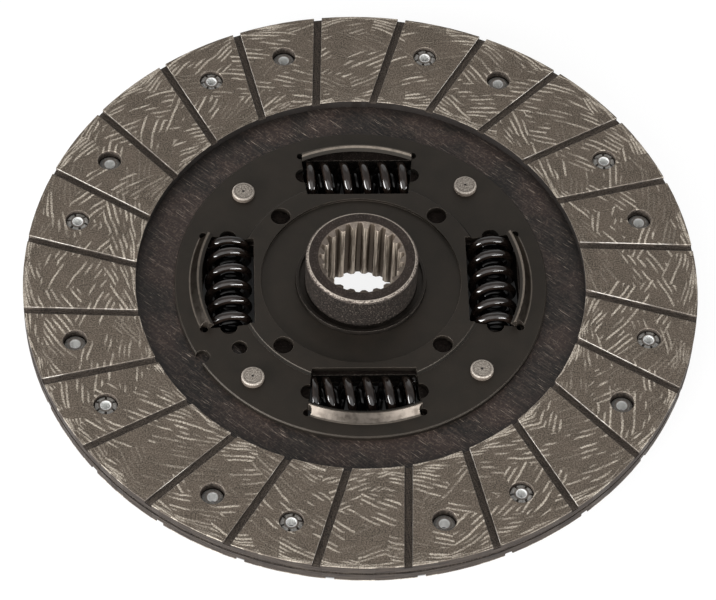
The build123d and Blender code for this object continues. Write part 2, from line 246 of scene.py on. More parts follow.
def hub_steel():
    """Furnace skin outside, bright wear along the corners, and streaky cut metal in the bore, which
    darkens towards the splines' roots as painted shade."""
    shaded_wall_dark, shaded_wall_light = colour(8, 6, 5), colour(17, 13, 11)
    face_dark, face_light = colour(30, 25, 23), colour(44, 37, 34)
    cut_dark, cut_light, cut_root_shade = colour(106, 96, 85), colour(206, 193, 177), colour(86, 76, 66)
    cone_dark, cone_light = colour(86, 78, 71), colour(112, 103, 95)
    scale_speck, bare_steel = colour(120, 110, 101), colour(176, 166, 155)
    material, tree, shader = new_material("hub_steel", Specular_IOR_Level=0.18,
                                          Specular_Tint=(1.0, 0.9, 0.82, 1.0))
    spot = place(tree, disc_place)
    where, radius, height = spot["Position"], spot["Radius"], spot["Height"]
    facing_up = height_of(tree, add(tree, "NewGeometry").outputs["True Normal"])

    # Painted shade: the furnace skin is made blacker on the walls than on level faces.
    cloud = place(tree, mottle, position=where, size=3.5)["Value"]
    speck = place(tree, mottle, position=where, size=0.45, low=0.5, high=0.75)["Value"]
    level = remap(tree, facing_up, 0.3, 0.6)
    skin = blend_colours(tree, level, blend_colours(tree, cloud, shaded_wall_dark, shaded_wall_light),
                         blend_colours(tree, cloud, face_dark, face_light))
    skin = blend_colours(tree, times(tree, speck, 0.35), skin, scale_speck)

    # The bore has streaks that run the way of the broach, and a duller cone at its mouth.
    upright = vector_maths(tree, "MULTIPLY", where, (1.0, 1.0, 0.04))
    streak = place(tree, mottle, position=upright, size=0.45, low=0.38, high=0.62)["Value"]
    cut = blend_colours(tree, streak, cut_dark, cut_light)
    # Painted shade: the cut metal darkens towards the splines' roots.
    cut = blend_colours(tree, remap(tree, radius, *painted_root_shade), cut, cut_root_shade)
    cone = band(tree, facing_up, 0.3, 0.5, 0.93, 0.97)
    cut = blend_colours(tree, cone, cut, blend_colours(tree, cloud, cone_dark, cone_light))
    in_bore = remap(tree, radius, bore_reach + 0.05, bore_reach - 0.05)

    # Wear follows every corner, and the end face's chamfer is rubbed and chipped the most.
    chip = place(tree, mottle, position=where, size=0.5, low=0.38, high=0.6)["Value"]
    corner = times(tree, remap(tree, radius, hub_face_reach, hub_face_reach + corner_fade),
                   remap(tree, height, hub_top - hub_chamfer - corner_fade, hub_top - hub_chamfer))
    slope = remap(tree, height, hub_top - 0.02, hub_top - 0.08)
    rub = times(tree, corner, blend_value(tree, slope, remap(tree, chip, 0.0, 1.0, 0.6, 1.0),
                                          times(tree, chip, 0.55)))
    wear = place(tree, edge_wear, position=where, width=0.25, grain=1.2, cover=0.5)
    bare = maths(tree, "MAXIMUM", rub, times(tree, wear["Mask"], 0.7))

    # Bare metal is smoother than skin.
    metal = maths(tree, "MAXIMUM", in_bore, bare)
    scale_roughness = remap(tree, facing_up, 0.3, 0.6, 0.85, 0.55)
    relief = plus(tree, streak, plus(tree, speck, chip))
    finish_shader(tree, shader,
                  Base_Color=blend_colours(tree, in_bore, blend_colours(tree, bare, skin, bare_steel), cut),
                  Metallic=times(tree, metal, 0.5),
                  Roughness=blend_value(tree, metal, scale_roughness, 0.38),
                  Normal=raised(tree, relief, 0.03, wear["Normal"]))
    return material


dress("hub", hub_steel())


# Friction pack. A dark moulded bush centres the hub in the cover plate and shows as a collar round
# it. Under the flange a friction washer turns against a steel ring, and a disc spring loads both.
def bush_black():
    """Moulded black, with corners polished by handling."""
    moulded_dark, moulded_light, polished = colour(12, 10, 9), colour(20, 17, 15), colour(104, 96, 88)
    material, tree, shader = new_material("bush_black", Specular_IOR_Level=0.4,
                                          Specular_Tint=(1.0, 0.88, 0.76, 1.0))
    where = place(tree, disc_place)["Position"]
    cloud = place(tree, mottle, position=where, size=2.5)["Value"]
    wear = place(tree, edge_wear, position=where, width=0.2, grain=0.8, cover=0.55)
    tint = blend_colours(tree, cloud, moulded_dark, moulded_light)
    tint = blend_colours(tree, times(tree, wear["Mask"], 0.4), tint, polished)
    finish_shader(tree, shader, Base_Color=tint, Roughness=remap(tree, cloud, 0.0, 1.0, 0.32, 0.45),
                  Normal=raised(tree, cloud, 0.02, wear["Normal"]))
    return material


def friction_fibre():
    """Pressed fibre with pale flecks."""
    fibre, fleck_tint = colour(74, 62, 50), colour(130, 114, 92)
    material, tree, shader = new_material("friction_fibre", Roughness=0.85)
    where = place(tree, disc_place)["Position"]
    fleck = place(tree, mottle, position=where, size=0.5, low=0.45, high=0.7)["Value"]
    finish_shader(tree, shader, Base_Color=blend_colours(tree, fleck, fibre, fleck_tint),
                  Normal=raised(tree, fleck, 0.05))
    return material


def blued_steel():
    """Tempered steel with fine rings from turning."""
    blue_dark, blue_light = colour(64, 66, 74), colour(96, 98, 104)
    material, tree, shader = new_material("blued_steel", Metallic=0.8)
    spot = place(tree, disc_place)
    rings = join(tree, x=spot["Radius"], z=spot["Height"])
    turning = place(tree, mottle, position=rings, size=0.25, low=0.3, high=0.7)["Value"]
    finish_shader(tree, shader, Base_Color=blend_colours(tree, turning, blue_dark, blue_light),
                  Roughness=remap(tree, turning, 0.0, 1.0, 0.3, 0.42))
    return material


dress("centring_bush", bush_black())
dress("friction_washer", friction_fibre())
pack_steel = blued_steel()
dress("support_ring", pack_steel)
dress("disc_spring", pack_steel)


# Side plates. Two black painted pressings hold the springs between them. Windows are sheared out, and
# each window's outer edge is bent up into a wing over the spring. Bare metal shows on the wings' outer
# faces, along their folds and along the sheared edges.
window_count = 4
wing_arc_centre = 7.0
wing_fold_reach = 43.9
wing_half_span = 16.4
wing_middle = 48.5
wing_reach = 5.0
wing_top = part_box("cover_plate")[1].z / mm
plate_middle = (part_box("cover_plate")[1].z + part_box("retainer_plate")[0].z) / 2 / mm
crease_width = 0.16
bead_crest = 36.4


def build_local_radius():
    """The distance in millimetres from the nearest of Count centres on a circle."""
    tree, takes, gives = effect("local radius", {"Radius": 0.0, "Angle": 0.0, "Circle": 47.4, "Count": 4.0,
                                                 "First": 0.0}, {"Distance": "Float"})
    pitch = over(tree, 2 * pi, takes["Count"])
    share = over(tree, minus(tree, takes["Angle"], takes["First"]), pitch)
    away = times(tree, minus(tree, share, maths(tree, "ROUND", share)), pitch)
    x = minus(tree, times(tree, takes["Radius"], maths(tree, "COSINE", away)), takes["Circle"])
    y = times(tree, takes["Radius"], maths(tree, "SINE", away))
    tree.links.new(vector_maths(tree, "LENGTH", join(tree, x, y)), gives["Distance"])
    return tree


local_radius = build_local_radius()


def wing_crease(tree, spot):
    """A thin line along each wing's fold, which stops short of the wing's ends."""
    arc = place(tree, local_radius, radius=spot["Radius"], angle=spot["Angle"], circle=wing_arc_centre,
                count=float(window_count))["Distance"]
    line = band(tree, arc, wing_fold_reach - 2 * crease_width, wing_fold_reach - crease_width,
                wing_fold_reach, wing_fold_reach + crease_width)
    away = maths(tree, "ABSOLUTE", maths(tree, "SINE", times(tree, spot["Angle"], window_count / 2)))
    end = sin(window_count / 2 * wing_half_span / (wing_arc_centre + wing_fold_reach))
    return times(tree, line, remap(tree, away, end + 0.02, end - 0.02))


def plate_black():
    """Black paint, matt and darkened as painted shade on the bead's slope and the wings' inner faces, and
    bare steel where the press sheared or stretched it."""
    paint_dark, paint_light, chipped = colour(14, 11, 8), colour(23, 18, 14), colour(120, 110, 100)
    pore_tint, cut_tint, matt_shade_black = colour(74, 66, 58), colour(18, 15, 13), colour(4, 3, 2)
    wing_dark, wing_light, bare_steel = colour(60, 55, 50), colour(88, 82, 76), colour(160, 149, 137)
    material, tree, shader = new_material("plate_black", Specular_Tint=(1.0, 0.9, 0.78, 1.0))
    spot = place(tree, disc_place)
    where, radius = spot["Position"], spot["Radius"]

    # Paint with pores, worn at the corners.
    cloud = place(tree, mottle, position=where, size=6.0)["Value"]
    pore = place(tree, mottle, position=where, size=0.35, low=0.55, high=0.8)["Value"]
    wear = place(tree, edge_wear, position=where, width=0.2, grain=0.5, cover=0.55)
    tint = blend_colours(tree, cloud, paint_dark, paint_light)
    tint = blend_colours(tree, times(tree, pore, 0.3), tint, pore_tint)
    tint = blend_colours(tree, times(tree, wear["Mask"], 0.5), tint, chipped)

    # How far a face looks away from the hub axis, and away from the damper's middle plane.
    normal = add(tree, "NewGeometry").outputs["True Normal"]
    level = vector_maths(tree, "NORMALIZE", vector_maths(tree, "MULTIPLY", where, (1.0, 1.0, 0.0)))
    outward = vector_maths(tree, "DOT_PRODUCT", normal, level)
    above = minus(tree, spot["Height"], plate_middle)
    rise = times(tree, height_of(tree, normal), maths(tree, "SIGN", above))

    # The parts of the pressing that differ from plain paint.
    on_wing = remap(tree, maths(tree, "ABSOLUTE", minus(tree, radius, wing_middle)), wing_reach,
                    wing_reach - 0.5)
    slope = times(tree, remap(tree, outward, 0.45, 0.75), remap(tree, rise, 0.3, 0.5))
    outer_face = times(tree, slope, on_wing)
    inner_face = times(tree, remap(tree, outward, -0.45, -0.75), on_wing)
    cut_face = times(tree, remap(tree, outward, -0.3, -0.45), remap(tree, rise, 0.6, 0.7))
    crest = band(tree, radius, bead_crest - 0.3, bead_crest - 0.15, bead_crest + 0.1, bead_crest + 0.25)
    bead_slope = times(tree, times(tree, slope, minus(tree, 1.0, crest)),
                       remap(tree, radius, bead_crest + 2.0, bead_crest + 1.2))
    # The bead's slope and the wings' inner faces are matt, and painted darker than the paint as shade.
    matt = maths(tree, "MAXIMUM", bead_slope, inner_face)

    # Bare steel: the top of the wings' sheared edges and their folds, in patches.
    reach = wing_top - plate_middle
    lift = maths(tree, "ABSOLUTE", above)
    sheared = times(tree, cut_face, remap(tree, lift, reach - 0.5, reach - 0.36))
    patch = place(tree, mottle, position=where, size=2.2, low=0.25, high=0.6)["Value"]
    shine = maths(tree, "MAXIMUM", times(tree, sheared, 0.85), times(tree, wing_crease(tree, spot), 0.3))
    shine = times(tree, shine, remap(tree, patch, 0.0, 1.0, 0.5, 1.0))

    tint = blend_colours(tree, cut_face, tint, cut_tint)
    tint = blend_colours(tree, outer_face, tint, blend_colours(tree, patch, wing_dark, wing_light))
    tint = blend_colours(tree, shine, tint, bare_steel)
    gloss = plus(tree, times(tree, cloud, 0.3), shine)
    roughness = blend_value(tree, outer_face, remap(tree, gloss, 0.0, 1.3, 0.52, 0.36), 0.33)
    finish_shader(tree, shader, Base_Color=blend_colours(tree, matt, tint, matt_shade_black),
                  Metallic=maths(tree, "MAXIMUM", times(tree, shine, 0.9), outer_face),
                  Roughness=blend_value(tree, matt, roughness, 1.0),
                  Normal=raised(tree, pore, 0.015, wear["Normal"]))
    return material


plate_finish = plate_black()
dress("cover_plate", plate_finish)
dress("retainer_plate", plate_finish)


# Damper springs. A thick outer coil and a thin inner one lie in each window. They are wound
# right-handed from round wire, ground flat at the ends and dipped in glossy black paint. Each
# window's pair lies rolled about its own axis by its value in coil_turns.
spring_circle = 39.3
spring_length = 30.5
spring_height = (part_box("outer_spring_1")[0].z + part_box("outer_spring_1")[1].z) / 2 / mm
outer_coil = {"radius": 7.1, "wire": 2.5, "turns": 6.1}
inner_coil = {"radius": 4.25, "wire": 1.8, "turns": 9.1}
closing_turn = 0.75
coil_turns = (60, 38, 170, 173)
sides_of_wire = 20
steps_per_turn = 32


def wire_at(turn, middle, wire, turns):
    """The way out from the coil's axis, the wire's centre and the way it runs, after some turns."""
    open_rise = (spring_length - 2 * wire * closing_turn) / (turns - 2 * closing_turn)
    if turn < closing_turn:
        along, rise = wire * turn, wire
    elif turn > turns - closing_turn:
        along, rise = spring_length - wire * (turns - turn), wire
    else:
        along, rise = wire * closing_turn + open_rise * (turn - closing_turn), open_rise
    angle = 2 * pi * turn
    out = Vector((cos(angle), 0, -sin(angle)))
    centre = out * middle + Vector((0, along - spring_length / 2, 0))
    forward = Vector((-sin(angle), 0, -cos(angle))) * 2 * pi * middle + Vector((0, rise, 0))
    return out, centre, forward.normalized()


def grind_flat(mesh):
    """Cuts both ends of a coil square to its axis and closes them."""
    for end in (-1, 1):
        everything = mesh.verts[:] + mesh.edges[:] + mesh.faces[:]
        bmesh.ops.bisect_plane(mesh, geom=everything, dist=1e-6, plane_no=(0, end, 0),
                               plane_co=(0, end * spring_length / 2 * mm, 0), clear_outer=True)
        open_edges = [edge for edge in mesh.edges if edge.is_boundary]
        bmesh.ops.triangle_fill(mesh, use_beauty=True, edges=open_edges)


def coil_mesh(name, radius, wire, turns):
    """The skin of the wire along its coil. The coil's axis is Y."""
    steps = round(turns * steps_per_turn)
    mesh = bmesh.new()
    rings = []
    for k in range(steps + 1):
        out, centre, forward = wire_at(turns * k / steps, radius - wire / 2, wire, turns)
        side = forward.cross(out)
        ring = []
        for j in range(sides_of_wire):
            a = 2 * pi * j / sides_of_wire
            ring.append(mesh.verts.new((centre + (out * cos(a) + side * sin(a)) * wire / 2) * mm))
        rings.append(ring)
    for first, second in zip(rings, rings[1:]):
        for j in range(sides_of_wire):
            n = (j + 1) % sides_of_wire
            mesh.faces.new((first[j], first[n], second[n], second[j]))
    mesh.faces.new(rings[0][::-1])
    mesh.faces.new(rings[-1])
    grind_flat(mesh)
    bmesh.ops.recalc_face_normals(mesh, faces=mesh.faces)
    for face in mesh.faces:
        face.smooth = abs(face.normal.y) < 0.999
    made = bpy.data.meshes.new(name)
    mesh.to_mesh(made)
    mesh.free()
    return made


def spring_enamel(name, dark, light, gloss):
    """Dipped paint under a clear skin. gloss is the skin's index of refraction."""
    material, tree, shader = new_material(name, Coat_Roughness=0.06, Coat_IOR=gloss,
                                          Coat_Tint=(1.0, 0.96, 0.92, 1.0), Specular_IOR_Level=0.0)
    where = vector_maths(tree, "MULTIPLY", add(tree, "TexCoord").outputs["Object"], (1 / mm,) * 3)
    run = place(tree, mottle, position=where, size=1.6)["Value"]
    speck = place(tree, mottle, position=where, size=0.4, low=0.55, high=0.8)["Value"]
    finish_shader(tree, shader, Base_Color=blend_colours(tree, run, dark, light),
                  Roughness=remap(tree, speck, 0.0, 1.0, 0.28, 0.5),
                  Coat_Weight=remap(tree, speck, 0.0, 1.0, 1.0, 0.5), Normal=raised(tree, run, 0.02))
    return material


outer_enamel = spring_enamel("spring_enamel", colour(20, 15, 12), colour(33, 27, 24), 1.68)
# The inner coils wear a darker copy of the paint: painted shade, as they lie inside the outer coils.
shaded_inner_enamel = spring_enamel("shaded_inner_spring_enamel", colour(3, 2, 2), colour(8, 7, 6), 1.4)

for kind, sizes, enamel in (("outer_spring", outer_coil, outer_enamel),
                            ("inner_spring", inner_coil, shaded_inner_enamel)):
    for k, coil_turn in enumerate(coil_turns):
        coil = bpy.data.objects.new(f"{kind}_wire_{k + 1}", coil_mesh(kind, **sizes))
        bpy.context.scene.collection.objects.link(coil)
        coil.data.materials.append(enamel)
        coil.data.transform(Matrix.Rotation(radians(coil_turn), 4, "Y"))
        window_turn = Matrix.Rotation(2 * pi * k / window_count, 4, "Z")
        coil.matrix_world = window_turn @ Matrix.Translation(Vector((spring_circle, 0, spring_height)) * mm)
        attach(coil, "damper_springs")
        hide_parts(f"{kind}_{k + 1}")
        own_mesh(coil)


# Stop pins. Four thick steel rivets space the side plates and limit the twist. Their heads are
# formed flat by a die that leaves a punched middle, a shallow ring and a rubbed rim.
pin_count = 4
pin_circle = 47.4
pin_turn = 1.7
pin_head_reach = 3.4
pin_punch_reach = 0.5


def pin_steel():
    """Grainy bare steel. The marks are placed by their distance from the pin's own axis."""
    steel_dark, steel_light, side_tint = colour(92, 83, 75), colour(160, 152, 142), colour(92, 83, 75)
    ring_tint, rim_tint, punch_tint = colour(78, 70, 63), colour(172, 163, 153), colour(34, 28, 24)
    material, tree, shader = new_material("pin_steel", Metallic=0.2)
    spot = place(tree, disc_place)
    where = spot["Position"]
    out = place(tree, local_radius, radius=spot["Radius"], angle=spot["Angle"], circle=pin_circle,
                count=float(pin_count), first=radians(180 / pin_count + pin_turn))["Distance"]
    grain = place(tree, mottle, position=where, size=0.4, low=0.38, high=0.62)["Value"]
    wear = place(tree, edge_wear, position=where, width=0.25, grain=1.0, cover=0.7)
    ring = band(tree, out, pin_head_reach - 1.1, pin_head_reach - 0.9, pin_head_reach - 0.75,
                pin_head_reach - 0.55)
    rim = band(tree, out, pin_head_reach - 0.7, pin_head_reach - 0.5, pin_head_reach - 0.25,
               pin_head_reach - 0.1)
    side = remap(tree, out, pin_head_reach - 0.12, pin_head_reach)
    punch = remap(tree, out, pin_punch_reach, pin_punch_reach - 0.2)
    tint = blend_colours(tree, grain, steel_dark, steel_light)
    tint = blend_colours(tree, times(tree, ring, 0.45), tint, ring_tint)
    tint = blend_colours(tree, times(tree, rim, 0.45), tint, rim_tint)
    tint = blend_colours(tree, side, tint, side_tint)
    tint = blend_colours(tree, punch, tint, punch_tint)
    finish_shader(tree, shader, Base_Color=tint, Roughness=remap(tree, grain, 0.0, 1.0, 0.55, 0.42),
                  Normal=raised(tree, grain, 0.03, wear["Normal"]))
    return material


pin_finish = pin_steel()
for k in range(pin_count):
    dress(f"stop_pin_{k + 1}", pin_finish)


# Carrier plate. Thin spring steel, ground on its faces and hardened dark, so it shows brown-black
# with fine straight grinding marks. Its slotted rim lies waved between the two facings, and a painted
# shadow darkens it beside them.
grind_turn = 41
facing_shadow_reach = (63.5, 67.5)


def build_fine_lines():
    """Fine lines of Length by Width millimetres, with a share of them picked by Low and High."""
    tree, takes, gives = effect("fine lines", {"Position": (0, 0, 0), "Turn": 0.0, "Length": 20.0,
                                               "Width": 0.3, "Low": 0.45, "High": 0.7}, {"Value": "Float"})
    turned = add(tree, "VectorRotate", {"Vector": takes["Position"], "Angle": takes["Turn"]},
                 rotation_type="Z_AXIS").outputs[0]
    across = over(tree, 1.0, takes["Width"])
    stretch = join(tree, over(tree, 1.0, takes["Length"]), across, across)
    lines = noise(tree, vector_maths(tree, "MULTIPLY", turned, stretch), 1.0, 3.0, 0.6)
    tree.links.new(remap(tree, lines, takes["Low"], takes["High"]), gives["Value"])
    return tree


fine_lines = build_fine_lines()


def carrier_steel():
    """Dark hardened steel with brown clouds, grey grit, dull and bright grinding marks, and a painted shadow
    beside the facings.
    """
    steel_dark, steel_light, brown = colour(15, 12, 10), colour(30, 25, 22), colour(62, 47, 42)
    mark_tint, grit_tint, bright_tint = colour(72, 61, 55), colour(104, 89, 79), colour(176, 161, 147)
    facing_shadow_tint = colour(14, 11, 9)
    material, tree, shader = new_material("carrier_steel", Metallic=0.15)
    spot = place(tree, disc_place)
    where = spot["Position"]
    cloud = place(tree, mottle, position=where, size=9.0)["Value"]
    stain = place(tree, mottle, position=where, size=15.0, low=0.42, high=0.58)["Value"]
    marks = place(tree, fine_lines, position=where, turn=radians(grind_turn), length=7.0, width=0.5)["Value"]
    bright = place(tree, fine_lines, position=where, turn=radians(grind_turn), length=5.0, width=0.24,
                   low=0.62, high=0.72)["Value"]
    grit = place(tree, mottle, position=where, size=0.6, low=0.48, high=0.68)["Value"]
    # Painted shadow: the plate darkens towards the facings' inner edge.
    facing_shadow = remap(tree, plus(tree, spot["Radius"], times(tree, cloud, 1.5)), *facing_shadow_reach)
    tint = blend_colours(tree, cloud, steel_dark, steel_light)
    tint = blend_colours(tree, times(tree, stain, 0.5), tint, brown)
    tint = blend_colours(tree, times(tree, marks, 0.65), tint, mark_tint)
    tint = blend_colours(tree, times(tree, grit, remap(tree, stain, 0.0, 1.0, 0.3, 0.6)), tint, grit_tint)
    tint = blend_colours(tree, times(tree, bright, 0.9), tint, bright_tint)
    tint = blend_colours(tree, times(tree, facing_shadow, 0.6), tint, facing_shadow_tint)
    finish_shader(tree, shader, Base_Color=tint, Roughness=remap(tree, marks, 0.0, 1.0, 0.55, 0.42),
                  Normal=raised(tree, plus(tree, marks, grit), 0.02))
    return material


dress("carrier_plate", carrier_steel())


# Friction facings. Two rings wound from resin-soaked glass and copper yarn, pressed hard, ground flat
# and grooved. Grinding opens the crowns of the yarns, which show as pale dashes that cross each other,
# and pale painted highlights run along the grooves' lips.
facing_inner = 66.8
facing_outer = 100.0
facing_faces = (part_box("facing_lower")[0].z / mm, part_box("facing_upper")[1].z / mm)
yarn_loops = 3
yarn_count = 150
yarn_half_width = 0.34
yarn_wander = 2.0
dash_length = 7.0
patch_size = 9.0
rivet_count = 16
rivet_circle = 87.0
rivet_angles = (14.25, 30.25)


def build_wound_yarn():
    """Strands that swing between the rims: distance from one's middle, its number, and way along it."""
    tree, takes, gives = effect("wound yarn", {"Radius": 83.0, "Angle": 0.0, "Hand": 1.0},
                                {"Distance": "Float", "Strand": "Float", "Along": "Float"})
    middle, half = (facing_outer + facing_inner) / 2, (facing_outer - facing_inner) / 2
    strands_per_radian = yarn_count / (2 * pi)
    out = over(tree, minus(tree, takes["Radius"], middle), half)
    out = maths(tree, "MAXIMUM", maths(tree, "MINIMUM", out, 0.995), -0.995)
    swing = maths(tree, "ARCCOSINE", out)
    lead = times(tree, over(tree, swing, float(yarn_loops)), takes["Hand"])
    phase = times(tree, plus(tree, takes["Angle"], lead), strands_per_radian)
    whole = maths(tree, "FLOOR", phase)
    off = maths(tree, "ABSOLUTE", minus(tree, minus(tree, phase, whole), 0.5))
    round_slope = over(tree, 1.0, times(tree, takes["Radius"], takes["Radius"]))
    steep = minus(tree, 1.0, times(tree, out, out))
    out_slope = over(tree, 1 / (yarn_loops * half) ** 2, steep)
    slope = maths(tree, "SQRT", plus(tree, round_slope, out_slope))
    slope = times(tree, slope, strands_per_radian)
    tree.links.new(over(tree, off, slope), gives["Distance"])
    tree.links.new(maths(tree, "FLOORED_MODULO", whole, float(yarn_count)), gives["Strand"])
    tree.links.new(times(tree, swing, middle / yarn_loops), gives["Along"])
    return tree


wound_yarn = build_wound_yarn()


def yarn_dashes(tree, spot, fuzz):
    """The open yarn crowns. Two layers cross, and a patchwork picks which of them is on top."""
    flat = vector_maths(tree, "MULTIPLY", spot["Position"], (1.0, 1.0, 0.0))
    warp = add(tree, "TexNoise", {"Vector": flat, "Scale": 0.12, "Detail": 2.0}).outputs["Color"]
    bent = vector_maths(tree, "ADD", spot["Position"], vector_maths(tree, "MULTIPLY", warp, (6.0, 6.0, 0.0)))
    patch = add(tree, "TexVoronoi", {"Vector": bent, "Scale": 1 / patch_size}, voronoi_dimensions="2D")
    pick, cover, _ = add(tree, "SeparateXYZ", {0: patch.outputs["Color"]}).outputs
    jitter = minus(tree, noise(tree, flat, 0.1, 1.0), 0.5)
    radius = plus(tree, spot["Radius"], times(tree, jitter, yarn_wander))
    layers = []
    for hand, on_top in ((1.0, remap(tree, pick, 0.47, 0.53)), (-1.0, remap(tree, pick, 0.53, 0.47))):
        yarn = place(tree, wound_yarn, radius=radius, angle=spot["Angle"], hand=hand)
        seed = join(tree, over(tree, yarn["Along"], dash_length), times(tree, yarn["Strand"], 5.3), hand)
        showing = noise(tree, seed, 1.0, 1.0)
        away = plus(tree, yarn["Distance"], fuzz)
        body = remap(tree, away, yarn_half_width * 1.2, yarn_half_width * 0.6)
        dash = times(tree, body, remap(tree, showing, 0.47, 0.53))
        dash = times(tree, dash, remap(tree, showing, 0.48, 0.68, 0.5, 1.0))
        layers.append(times(tree, dash, on_top))
    return times(tree, maths(tree, "MAXIMUM", *layers), remap(tree, cover, 0.12, 0.36, 0.15, 1.0))


def groove_floor(tree, spot, grit):
    """The sawn floor of a groove, with strokes that run along it."""
    floor_dark, floor_light, floor_grit = colour(36, 31, 27), colour(70, 62, 55), colour(120, 109, 99)
    strokes = join(tree, over(tree, spot["Radius"], 5.0), times(tree, spot["Angle"], facing_outer * 2))
    stroke = remap(tree, noise(tree, strokes, 1.0, 3.0), 0.35, 0.7)
    return blend_colours(tree, times(tree, grit, 0.4), blend_colours(tree, stroke, floor_dark, floor_light),
                         floor_grit)


def facing_side(tree, spot):
    """The moulded outer rim, which shows the wound layers."""
    layer_dark, layer_light = colour(25, 19, 16), colour(52, 45, 39)
    layers = join(tree, times(tree, spot["Angle"], 12.0), times(tree, spot["Height"], 2.2))
    layer = remap(tree, noise(tree, layers, 1.0, 4.0), 0.35, 0.65)
    return blend_colours(tree, layer, layer_dark, layer_light)


def from_rivet(tree, spot):
    """The distance in millimetres from the nearest rivet's axis."""
    away = [place(tree, local_radius, radius=spot["Radius"], angle=spot["Angle"], circle=rivet_circle,
                  count=rivet_count / len(rivet_angles), first=radians(first))["Distance"]
            for first in rivet_angles]
    return maths(tree, "MINIMUM", *away)


def lip_highlights(tree, spot, groove, fuzz):
    """Painted highlights as pale lines at the top of the grooves' walls. The rivets' wells and both rims have
    none.
    """
    upright = maths(tree, "ABSOLUTE", height_of(tree, add(tree, "NewGeometry").outputs["True Normal"]))
    lip = times(tree, remap(tree, upright, 0.6, 0.4), remap(tree, groove, 0.9, 0.6))
    lip = times(tree, lip, remap(tree, spot["Radius"], facing_outer - 0.2, facing_outer - 0.4))
    lip_breakup = place(tree, mottle, position=spot["Position"], size=24.0, low=0.45, high=0.6)["Value"]
    lip = times(tree, lip, remap(tree, fuzz, -0.05, 0.02, 0.5, 1.0))
    lip = times(tree, lip, remap(tree, lip_breakup, 0.0, 1.0, 0.1, 0.75))
    lip = times(tree, lip, remap(tree, from_rivet(tree, spot), 4.2, 4.8))
    return times(tree, lip, remap(tree, spot["Radius"], facing_inner + 0.3, facing_inner + 0.8))


def friction_facing():
    """Ground yarn and resin on the faces, sawn grooves, a layered rim and a dark inner wall."""
    resin_dark, resin_light, grit_tint = colour(54, 47, 40), colour(72, 63, 55), colour(120, 109, 96)
    yarn_dark, yarn_light, pale_edge_tint = colour(126, 115, 102), colour(200, 191, 177), colour(222, 216, 208)
    inner_wall = colour(24, 19, 16)
    material, tree, shader = new_material("friction_facing", Specular_IOR_Level=0.3)
    spot = place(tree, disc_place)
    where, radius, height = spot["Position"], spot["Radius"], spot["Height"]

    # The ground face: resin with grit, and the yarns that grinding opened.
    grit = place(tree, mottle, position=where, size=0.42, low=0.38, high=0.64)["Value"]
    fuzz = place(tree, mottle, position=where, size=0.6, low=0.2, high=0.8)["Value"]
    fuzz = times(tree, minus(tree, fuzz, 0.5), 0.3)
    cloud = place(tree, mottle, position=where, size=7.0)["Value"]
    dash = yarn_dashes(tree, spot, fuzz)
    resin = blend_colours(tree, cloud, resin_dark, resin_light)
    resin = blend_colours(tree, times(tree, grit, 0.7), resin, grit_tint)
    face = blend_colours(tree, dash, resin, blend_colours(tree, grit, yarn_dark, yarn_light))

    # What lies below the face: grooves, both rims and the corners between them.
    depth = maths(tree, "MINIMUM", minus(tree, facing_faces[1], height), minus(tree, height, facing_faces[0]))
    groove = remap(tree, depth, 0.15, 0.5)
    rim = times(tree, remap(tree, radius, facing_outer - 0.3, facing_outer - 0.15), groove)
    inner = times(tree, remap(tree, radius, facing_inner + 0.15, facing_inner + 0.05),
                  remap(tree, groove, 0.0, 0.4))
    wear = place(tree, edge_wear, position=where, width=0.22, grain=0.7, cover=0.62)
    top_edge = times(tree, wear["Mask"], remap(tree, groove, 0.9, 0.4))
    # Pale worn top edges, with painted highlights along the grooves' lips.
    worn_edges_and_highlights = maths(tree, "MAXIMUM", times(tree, top_edge, 0.2), lip_highlights(tree, spot, groove, fuzz))

    tint = blend_colours(tree, groove, face, groove_floor(tree, spot, grit))
    tint = blend_colours(tree, rim, tint, facing_side(tree, spot))
    tint = blend_colours(tree, inner, tint, inner_wall)
    tint = blend_colours(tree, worn_edges_and_highlights, tint, pale_edge_tint)
    relief = plus(tree, times(tree, grit, 0.5), dash)
    finish_shader(tree, shader, Base_Color=tint, Roughness=remap(tree, dash, 0.0, 1.0, 0.8, 0.55),
                  Normal=raised(tree, relief, 0.05, wear["Normal"]))
    return material


facing_finish = friction_facing()
dress("facing_upper", facing_finish)
dress("facing_lower", facing_finish)


# Facing rivets. Hollow rivets of plated steel, set in turn from above and from below. A set end is
# rolled outwards until it splits into petals, and the other end is a plain flat head.
rivet_bore = 1.4


def rivet_zinc():
    """Dull plating with stains. It has a painted highlight in the middle, and is darker in the roll round it.
    """
    zinc_dark, zinc_light, bore_highlight = colour(150, 147, 142), colour(208, 206, 202), colour(252, 252, 250)
    stain_tint, roll_dark_tint = colour(96, 88, 80), colour(88, 77, 67)
    material, tree, shader = new_material("rivet_zinc", Metallic=0.15)
    spot = place(tree, disc_place)
    where = spot["Position"]
    out = from_rivet(tree, spot)
    grain = place(tree, mottle, position=where, size=0.5)["Value"]
    stain = place(tree, mottle, position=where, size=1.6, low=0.5, high=0.75)["Value"]
    wear = place(tree, edge_wear, position=where, width=0.2, grain=1.0, cover=0.6)
    roll = band(tree, out, rivet_bore, rivet_bore + 0.3, rivet_bore + 0.6, rivet_bore + 1.0)
    middle = remap(tree, out, rivet_bore + 0.35, rivet_bore)
    tint = blend_colours(tree, grain, zinc_dark, zinc_light)
    tint = blend_colours(tree, times(tree, stain, 0.4), tint, stain_tint)
    # The roll round the bore is darker.
    tint = blend_colours(tree, times(tree, roll, 0.8), tint, roll_dark_tint)
    # Painted highlight: the rivet's middle is made nearly white.
    tint = blend_colours(tree, middle, tint, bore_highlight)
    finish_shader(tree, shader, Base_Color=tint, Roughness=remap(tree, grain, 0.0, 1.0, 0.45, 0.3),
                  Normal=raised(tree, grain, 0.04, wear["Normal"]))
    return material


